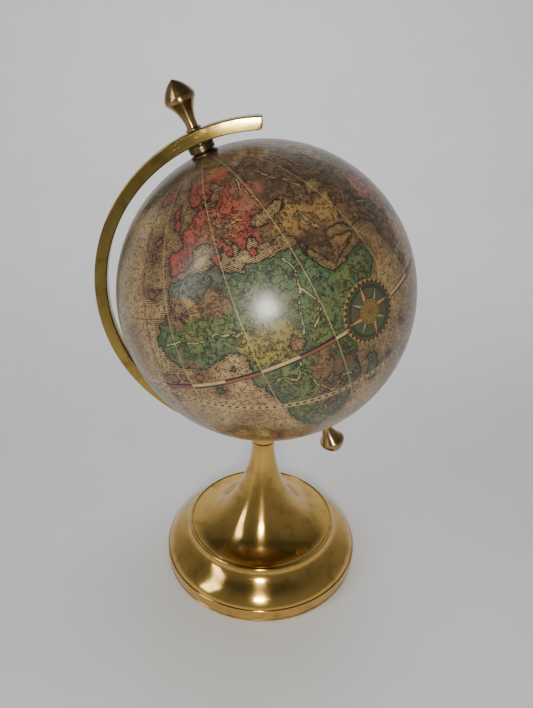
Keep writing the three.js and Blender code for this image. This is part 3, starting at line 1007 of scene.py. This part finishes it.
def towns(s, sheet):
    """Towns: a ring with a tower on it, and the tower's roof."""
    x, y = symbol_cells(s, sheet, 7.5, 9)[:2]
    ring_place = s.math("SQRT", x * x + y * y)
    ring = line(s, ring_place - 0.55, 0.3)
    tower = s.step(abs(x - 0.2), 0.34, 0.24) * s.step(abs(y - 1.1), 0.7, 0.58)
    roof = s.step(abs(x - 0.2) + (y - 1.7) * 0.5, 0.46, 0.34) * s.step(y, 1.64, 1.74)
    return s.largest(ring, tower), roof


def wavelets(s, sheet):
    """Small double waves on the open sea."""
    x, y, centre = symbol_cells(s, sheet, 3.8, 13)
    there = s.step(s.noise(centre, 11, 1), 0.42, 0.46)
    ripple = s.math("COSINE", x * 4.5) * 0.22
    near = s.step(abs(x), 1.25, 1.1)
    second = line(s, y + 0.6 - ripple, 0.16) * s.step(abs(x), 0.8, 0.7)
    return there * s.largest(line(s, y - ripple, 0.24) * near, second)


def ridges(s, place, height):
    """Wandering contours with strokes on one side: their ink, and the lit ground beside them."""
    fold = s.noise(place, 8.5, 4, 0.62) - 0.5
    contour = s.step(abs(fold), 0.017, 0.008)
    strokes = s.step(s.math("PINGPONG", height, 0.36), 0.22, 0.1)
    below = s.step(fold, 0.0, 0.01) * s.step(fold, 0.07, 0.04)
    lit = s.step(fold, -0.005, -0.03) * s.step(fold, -0.13, -0.07)
    return s.largest(contour, strokes * below), lit


def wandering(s, offset, place, size, reach):
    """The length of an offset to a drawn line that wanders by up to reach, in millimetres."""
    sway = s.node("TexNoise", {"Vector": place, "Scale": 1 / size, "Detail": 3.0}, 1)
    sway = s.vector("SUBTRACT", sway, (0.5, 0.5, 0.5))
    swayed = s.vector("MULTIPLY_ADD", sway, (reach * 4, reach * 4, reach * 4), offset)
    return s.vector("LENGTH", swayed, output=1)


def graticule(s, longitude, latitude, across):
    """Thin lines every 10 degrees. across is the size in mm of a degree of longitude."""
    east = s.math("PINGPONG", longitude, 5) * across
    north = s.math("PINGPONG", latitude, 5) * DEGREE
    circles = (23.5, -23.5, 66.5, -66.5)
    rings = s.largest(*(line(s, (latitude - circle) * DEGREE, 0.4) for circle in circles))
    return s.largest(line(s, east, 0.2), line(s, north, 0.2)) * 0.4, rings


def great_circle(s, place, pole, start):
    """Distance in mm from a great circle, and the distance run along it from start."""
    side = pole.cross(start)
    radius = BALL_RADIUS / MM
    away = s.math("ARCSINE", on_paper(s, place, pole) / radius) * radius
    run = s.math("ARCTAN2", on_paper(s, place, side), on_paper(s, place, start)) * radius
    return away, run


def folded(s, angle, parts):
    """The angle from the nearest of so many evenly spaced rays."""
    step = 2 * math.pi / parts
    return s.math("WRAP", angle, step / 2, -step / 2)


def ray(s, radius, angle, parts, length, width):
    """Star points that taper to nothing at length: whole shape, its left half and its outline."""
    turn = folded(s, angle, parts)
    out = radius * s.math("COSINE", turn)
    off = radius * s.math("SINE", turn)
    side = abs(off) - (1 - out / length) * width
    shape = s.step(side, 0.08, -0.08) * s.step(out, length, length - 0.4)
    outline = line(s, side, 0.14) * s.step(out, length, length - 0.3)
    return shape, shape * s.step(off, -0.05, 0.05), outline


def compass_rose(s, place, colour, longitude, latitude):
    """Lays a compass rose over the colour, and gives the rhumb lines that leave it."""
    centre = direction_in_part(longitude, latitude)
    north = direction_in_part(longitude, latitude + 90)
    facing = s.step(on_paper(s, place, centre), 10, 20)
    x = on_paper(s, place, north.cross(centre))
    y = on_paper(s, place, north)
    radius = s.math("SQRT", x * x + y * y) + (1 - facing) * 200
    angle = s.math("ARCTAN2", x, y)
    rim = 14.7
    disc = s.step(radius, rim + 0.15, rim - 0.1)
    tooth = abs(folded(s, angle, 32)) * radius
    teeth = s.step(tooth - (rim - radius) * 0.72, 0.1, -0.1) * s.step(radius, 12.7, 12.9)
    layers = [(disc, (0.24, 0.165, 0.060)), (teeth * disc, (0.025, 0.012, 0.006))]
    for edge, paint in (
        (12.7, (0.160, 0.130, 0.028)), (12.3, (0.014, 0.036, 0.017)), (10.9, (0.050, 0.062, 0.024)),
    ):
        layers.append((s.step(radius, edge, edge - 0.2) * disc, paint))
    for (whole, half, outline), left, right in (
        (ray(s, radius, angle + math.pi / 4, 4, 11.6, 2.5), (0.26, 0.24, 0.14), (0.03, 0.04, 0.045)),
        (ray(s, radius, angle, 4, 13.4, 2.9), (0.17, 0.026, 0.016), (0.32, 0.22, 0.11)),
    ):
        layers += [(whole * disc, right), (half * disc, left), (outline * disc * 0.8, INK)]
    heart = s.step(radius, 5.9, 5.7)
    spokes = s.step(s.math("COSINE", angle * 16), 0.55, 0.85) * s.step(radius, 3.0, 3.2) * heart
    bloom = s.step(radius - s.math("COSINE", angle * 8) * 0.35, 1.9, 1.6)
    rings = s.largest(*(line(s, radius - at, 0.24) for at in (rim, 12.6, 12.2, 10.8, 5.8, 4.7, 2.7)))
    layers += [
        (heart, (0.20, 0.135, 0.028)),
        (spokes * 0.6, INK_BROWN),
        (bloom, (0.14, 0.055, 0.018)),
        (rings * disc * 0.9, INK),
        (disc * (0.05 + s.noise(place, 2.5, 3) * 0.3), INK_BROWN),
    ]
    reach = s.step(radius, 62, 30) * s.step(radius, rim, rim + 0.6)
    rhumbs = line(s, folded(s, angle, 32) * radius, 0.1) * reach
    return s.layers(colour, *layers), rhumbs, disc


class MapPoint:
    """Where the point is on the ball, the map and its sheet, and how far from the coasts."""

    def __init__(self, s):
        self.place = s.vector("SUBTRACT", s.place(), tuple(BALL_CENTRE / MM))
        self.across, self.up, number = s.split(s.attribute("sheet", "Vector"))
        self.sheet = s.join(self.across + number * 50, self.up, 0.0)
        self.longitude, self.latitude = s.split(s.attribute("degrees", "Vector"))[:2]
        self.shrink = s.math("COSINE", self.latitude * math.radians(1))
        self.mottled = s.noise(self.place, 5, 4, 0.6)
        self.grain = s.noise(self.place, 0.8, 3, 0.6)
        self.ragged = s.noise(self.place, 4.2, 5, 0.72)
        self.shore = s.attribute("coast") + (self.ragged - 0.5) * COAST_WANDERS
        self.land = s.step(self.shore, -0.06, 0.06)
        self.inland = s.step(self.shore, 0.9, 1.3)
        self.border = wandering(s, s.attribute("border", "Vector"), self.place, 4, 0.5)
        self.wash = s.blend(self.mottled * 0.2, s.attribute("wash", "Color"), (0.40, 0.30, 0.12))
        self.margin = self.shrink * (GORE_WIDTH / 2) * DEGREE - abs(self.across)


def washed_paper(s, at):
    """The bare paper, and on land the wash, which is stronger at borders and coasts."""
    broad = s.noise(at.place, 26, 3, 0.5)
    edging = s.step(at.border, 3.5, 0.4)
    shore_wash = s.step(at.shore, 3.5, 0.3)
    thin_wash = 0.84 + shore_wash * 0.2 + edging * 0.15 + (at.mottled - 0.5) * 0.9
    coast_shade = s.step(at.shore, 2.6, 0.3) * at.land * (0.35 + at.ragged * 0.6)
    return s.layers(
        s.blend(s.step(broad, 0.38, 0.66), PAPER_TAN, PAPER_BROWN),
        (at.mottled * 0.5, PAPER_BROWN),
        (at.land * s.math("MINIMUM", thin_wash, 0.97), at.wash),
        (coast_shade * 0.75, s.blend(0.6, at.wash, INK)),
    )


def land_engraving(s, at, colour):
    hill_ink, hill_body = hills(s, at.sheet)
    tree_ink, tree_body = trees(s, at.sheet)
    town_ink, town_roof = towns(s, at.sheet)
    dotted = s.step(s.cells(at.sheet, 1.1, randomness=0.3), 0.40, 0.30)
    border = line(s, at.border, 0.7) * dotted
    from_river = wandering(s, s.attribute("river", "Vector"), at.place, 4, 0.6)
    banks = line(s, from_river - 0.62, 0.3)
    scratch = s.noise(s.vector("MULTIPLY", at.sheet, (0.35, 1.6, 1)), 0.9, 2, 0.7)
    engraved = s.step(scratch, 0.54, 0.64) * s.step(at.mottled, 0.38, 0.56)
    ridge_ink, lit_ground = ridges(s, at.place, at.up)
    return s.layers(
        colour,
        (hill_body * at.inland * 0.25, OCHRE),
        (tree_body * at.inland * 0.5, GREEN),
        (engraved * at.inland * 0.65, INK),
        (lit_ground * at.inland * 0.4, s.blend(0.2, at.wash, YELLOW, "ADD")),
        (ridge_ink * at.inland * 0.85, INK),
        (s.step(from_river, 0.46, 0.3) * at.inland * 0.75, PALE),
        (s.largest(hill_ink, tree_ink) * at.inland * 0.9, INK),
        (town_ink * at.inland * 0.9, INK),
        (town_roof * at.inland * 0.6, INK_RED),
        (s.largest(border, banks) * at.inland * 0.85, INK),
    )


def sea_engraving(s, at, colour):
    """Stippled open sea, hatching beside the coasts, and the coast line itself."""
    sea = 1 - at.land
    stipple = s.step(s.cells(at.sheet, 1.25), 0.46, 0.28) * s.step(at.mottled, 0.22, 0.44)
    hatch = s.step(s.math("PINGPONG", at.up + (at.grain - 0.5) * 0.3, 0.42), 0.28, 0.16)
    shading = hatch * s.step(at.shore + (at.ragged - 0.5) * 7.0, -4.8, -1.4)
    return s.layers(
        colour,
        (stipple * sea * 0.85, INK_BROWN),
        (shading * sea * 0.92, INK),
        (wavelets(s, at.sheet) * s.step(at.shore, -2.0, -3.0) * 0.75, INK),
        (line(s, at.shore + 0.1, 0.85) * 0.95, INK),
    )


def globe_lines(s, at, colour):
    """The graticule, the tropics and polar circles, and the prime meridian with its ladder."""
    fine, rings = graticule(s, at.longitude, at.latitude, at.shrink * DEGREE)
    prime = (at.longitude - PRIME_MERIDIAN) * at.shrink * DEGREE
    ladder = s.step(s.math("PINGPONG", at.latitude, 2.5), 1.2, 1.3)
    return s.layers(
        colour,
        (fine, INK_BROWN),
        (rings * 0.75, INK_BROWN),
        (line(s, prime, 0.65) * 0.85, (0.14, 0.045, 0.03)),
        (line(s, prime - 1.1, 0.9) * (0.35 + ladder * 0.5), INK_BROWN),
    )


def equator(s, at, colour):
    """A scale of alternate dark and pale bars, each half a gore long."""
    turn = (at.longitude - FIRST_SEAM) * (2 * math.pi / GORE_WIDTH)
    bar = s.step(s.math("SINE", turn), -0.03, 0.03)
    band = s.step(abs(at.latitude + EQUATOR_BELOW), 0.85, 0.75)
    top = line(s, (at.latitude + 0.3) * DEGREE, 0.9) * (1 - bar)
    bottom = line(s, (at.latitude + 1.45) * DEGREE, 0.5) * bar
    edges = [line(s, (at.latitude + below) * DEGREE, 0.3) for below in (0, 1.75)]
    return s.layers(
        colour,
        (band, s.blend(bar, (0.150, 0.042, 0.026), PAPER_TAN)),
        (s.largest(top, bottom, *edges), INK),
    )


def ecliptic(s, at, colour):
    """Dashes on a pale band round a great circle."""
    pole = direction_in_part(ECLIPTIC_LOWEST, 90 - ECLIPTIC_LEAN)
    start = direction_in_part(ECLIPTIC_LOWEST + 90, 0)
    away, run = great_circle(s, at.place, pole, start)
    dash = s.step(s.math("PINGPONG", run, 1.75), 0.95, 0.75)
    return s.layers(
        colour,
        (line(s, away, 2.6) * 0.65, PAPER_TAN),
        (line(s, away, 1.15) * dash * 0.95, INK),
    )


def compass_roses(s, at, colour):
    for longitude, latitude in ROSES:
        colour, rhumbs, disc = compass_rose(s, at.place, colour, longitude, latitude)
        colour = s.blend(rhumbs * (1 - at.land) * (1 - disc) * 0.5, colour, INK_BROWN)
    return colour


def age(s, at, colour):
    """Pale paper edges at the gores' seams, fox marks, grime, and dirt towards the poles."""
    fox = s.step(s.cells(at.place, 4.5), 0.16, 0.05) * s.step(s.noise(at.place, 8), 0.5, 0.6)
    grime = s.step(s.noise(at.place, 16, 5, 0.65), 0.45, 0.72)
    return s.layers(
        colour,
        (s.step(at.margin, 0.30, 0.12) * 0.45, PAPER_EDGE),
        (fox * 0.35, (0.16, 0.08, 0.035)),
        (grime * 0.5, (0.070, 0.042, 0.022)),
        (s.step(abs(at.latitude), 55, 84) * 0.5, (0.085, 0.050, 0.028)),
    )


def printed_map():
    s = Shader("printed_map")
    at = MapPoint(s)
    colour = washed_paper(s, at)
    for draw in (land_engraving, sea_engraving, globe_lines, equator, ecliptic, compass_roses, age):
        colour = draw(s, at, colour)
    swell = s.noise(at.place, 7, 3) * 0.05 + s.noise(at.place, 1.5) * 0.02
    height = swell + at.grain * 0.006 - s.step(at.margin, 0.35, 0.0) * 0.04
    s.set(
        base_color=colour,
        roughness=0.5 + at.mottled * 0.15,
        specular_ior_level=0.25,
        coat_weight=0.9,
        coat_roughness=0.27,
        coat_ior=1.4,
        coat_normal=s.bump(height, 0.7),
        normal=s.bump(height),
    )
    return s.material


# ---- Studio ----
def pale_floor():
    """A pale round floor that curves up into a wall all the way round."""
    radius = 1.5
    sweep = 0.5
    wall_height = 2.0
    profile = [(0.001, 0), (0.2, 0), (0.5, 0), (radius - sweep, 0)]
    profile += arc(radius - sweep, sweep, sweep, -90, 0, 24)[1:] + [(radius, wall_height)]
    s = Shader("pale_floor")
    where = s.place()
    s.set(
        base_color=s.blend(s.noise(where, 60, 4), (0.62, 0.62, 0.63), (0.68, 0.68, 0.68)),
        roughness=0.5 + s.noise(where, 3, 3) * 0.1,
    )
    steps = 96
    vertices = [(r * math.cos(a), r * math.sin(a), z)
                for a in np.linspace(0, 2 * math.pi, steps, endpoint=False) for r, z in profile]
    count = len(profile)
    faces = []
    for step in range(steps):
        for i in range(count - 1):
            here = step * count + i
            there = (step + 1) % steps * count + i
            faces.append((here, there, there + 1, here + 1))
    mesh = bpy.data.meshes.new("floor")
    mesh.from_pydata(vertices, [], faces)
    mesh.materials.append(s.material)
    floor = bpy.data.objects.new("floor", mesh)
    bpy.context.scene.collection.objects.link(floor)
    smooth_by_angle(floor, 60)


def softbox(name, place, target, width, height, power, colour=(1, 1, 1), spread=180, mirrored=True):
    data = bpy.data.lights.new(name, "AREA")
    data.shape = "ELLIPSE" if width == height else "RECTANGLE"
    data.size = width
    data.size_y = height
    data.energy = power
    data.color = colour
    data.spread = math.radians(spread)
    light = bpy.data.objects.new(name, data)
    light.visible_camera = False
    light.visible_glossy = mirrored
    light.location = place
    light.rotation_euler = (Vector(target) - Vector(place)).to_track_quat("-Z", "Y").to_euler()
    bpy.context.scene.collection.objects.link(light)


def lights():
    beside_camera = CAMERA_PLACE + Vector((0, -0.02, -0.05))
    softbox("key", beside_camera, BALL_CENTRE, 0.06, 0.06, 1.2, (1.0, 0.96, 0.86))
    softbox("left_window", (-0.85, -0.45, 0.6), (0, 0, 0.05), 0.22, 0.7, 2.8, (0.95, 0.98, 1.0))
    softbox("overhead", (0.1, 0.6, 1.5), (0, 0.3, 0.1), 1.0, 1.0, 5.0, spread=125, mirrored=False)
    softbox("back_wall", (0.0, 0.3, 1.6), (0, 1.5, 0.4), 0.6, 0.6, 10.0, spread=110, mirrored=False)
    softbox("right_window", (0.9, 0.3, 0.7), (0, 0, 0.15), 0.4, 0.7, 1.5, mirrored=False)
    world = bpy.data.worlds.new("studio")
    world.use_nodes = True
    background = world.node_tree.nodes["Background"]
    background.inputs["Color"].default_value = (0.9, 0.95, 1.0, 1)
    background.inputs["Strength"].default_value = 0.08
    bpy.context.scene.world = world


# ---- Assembly ----
def finish_nodes(material, *nodes):
    """Gives CAD nodes that are kept as they are their material."""
    for node in nodes:
        materials = frame["nodes"][node].data.materials
        materials.clear()
        materials.append(material)


def build():
    add_camera()
    # dull, the collars' and pole caps' brass, carries painted shade from the arm in its colour.
    gold, satin, dull, rosy = (brass(name, *look) for name, look in BRASSES.items())
    card = fibreboard()
    foot_shell(gold)
    stem(gold)
    saddle(gold)
    arm(satin)
    felt(baize())
    for end, upside_down in (("upper", False), ("lower", True)):
        finial("finial_" + end, end + "_finial", upside_down, rosy)
        spacer("spacer_" + end, end + "_spacer", upside_down, dull)
    for end, upside_down in (("north", False), ("south", True)):
        pole_cap("cap_" + end, end + "_pole_cap", upside_down, dull)
        ball_core("core_" + end, end + "_hemisphere", upside_down, card)
    paper = printed_map()
    for number in range(GORES):
        gore(number, paper)
    finish_nodes(steel(), "tie_rod", "tie_nut", "tie_washer", "axle_rod")
    finish_nodes(turned_wood(), "north_pole_bush", "south_pole_bush")
    finish_nodes(cast_iron(), "ballast_disc")
    finish_nodes(card, "bottom_cover", "seam_band")
    pale_floor()
    lights()


build()
